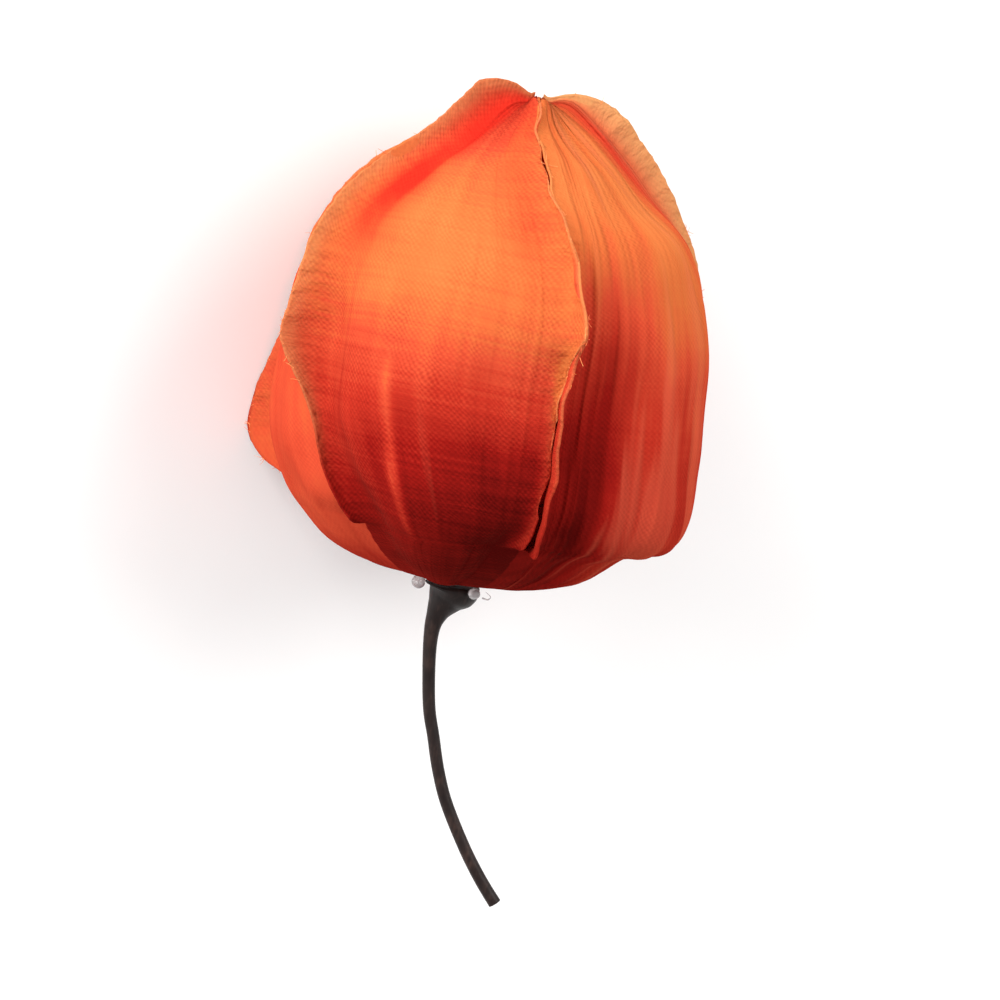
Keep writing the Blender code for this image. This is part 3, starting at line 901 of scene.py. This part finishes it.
def makeFloor():
    clearSelection()
    bpy.ops.mesh.primitive_plane_add(size=floorLook["size"], location=(0, 0, 0))
    made, tree, shader = newMaterial("paleFloor")
    where = addNode(tree, "ShaderNodeTexCoord")
    grain = addNode(tree, "ShaderNodeTexNoise", Scale=60.0, Detail=2.0)
    tree.links.new(where.outputs["Object"], grain.inputs["Vector"])
    low, high = (tuple(c * f for c in floorLook["colour"]) for f in (0.995, 1.005))
    colour = rampNode(tree, grain.outputs["Fac"], ((0.3, low), (0.7, high)))
    tree.links.new(colour, shader.inputs["Base Color"])
    shader.inputs["Roughness"].default_value = 0.9
    shader.inputs["Specular IOR Level"].default_value = 0.1
    takeNew("floor", made)


view = {
    "lean": 10.2,  # degrees that the lantern's axis leans to the right
    "nod": 8.0,  # degrees that its tip leans towards the camera
    "lens": 110.0,
    "height": 0.098,  # metres that the frame shows at the lantern
    "middle": (3.2, 0.0, 9.5),  # the point at the frame's middle, in the lantern's own mm
}


def viewAxes():
    turn = lie.to_3x3().normalized()
    nod, lean = math.radians(view["nod"]), math.radians(view["lean"])
    back = turn @ Vector((0, -math.cos(nod), math.sin(nod)))
    upright = turn @ Vector((0, math.sin(nod), math.cos(nod)))
    aside = turn @ Vector((1, 0, 0))
    up = upright * math.cos(lean) - aside * math.sin(lean)
    right = aside * math.cos(lean) + upright * math.sin(lean)
    return right.normalized(), up.normalized(), back.normalized()


def makeCamera():
    right, up, back = viewAxes()
    data = bpy.data.cameras.new("camera")
    data.lens = view["lens"]
    data.sensor_width = 36
    data.clip_start, data.clip_end = 0.01, 10
    distance = view["height"] * view["lens"] / 36
    camera = bpy.data.objects.new("camera", data)
    bpy.context.collection.objects.link(camera)
    middle = lie @ Vector(view["middle"])
    facing = Matrix((right, up, back)).transposed().to_4x4()
    camera.matrix_world = Matrix.Translation(middle + back * distance) @ facing
    bpy.context.scene.camera = camera


daylight = {"strength": 0.66, "lampColour": (1.0, 0.985, 0.96)}
# towards: right, up and out of the picture. distance and size in metres, power in watts.
lamps = (
    {"name": "keyLamp", "towards": (-0.65, 0.50, 0.80), "distance": 0.55, "size": 0.45, "power": 4.4},
    {"name": "fillLamp", "towards": (0.85, 0.35, 0.60), "distance": 0.6, "size": 0.4, "power": 2.3},
)


def makeLamps():
    right, up, back = viewAxes()
    middle = lie @ Vector((0, 0, 20))
    for lamp in lamps:
        x, y, z = lamp["towards"]
        heading = (right * x + up * y + back * z).normalized()
        data = bpy.data.lights.new(lamp["name"], "AREA")
        data.energy = lamp["power"]
        data.size = lamp["size"]
        data.color = daylight["lampColour"]
        made = bpy.data.objects.new(lamp["name"], data)
        bpy.context.collection.objects.link(made)
        made.location = middle + heading * lamp["distance"]
        made.rotation_mode = "QUATERNION"
        made.rotation_quaternion = (-heading).to_track_quat("-Z", "Y")
    world = bpy.context.scene.world or bpy.data.worlds.new("world")
    bpy.context.scene.world = world
    world.use_nodes = True
    background = world.node_tree.nodes["Background"]
    background.inputs["Color"].default_value = (1, 1, 1, 1)
    background.inputs["Strength"].default_value = daylight["strength"]
    bpy.context.scene.view_settings.view_transform = "Standard"


makeFloor()
makeLamps()
makeCamera()
print("floor, light and camera made")
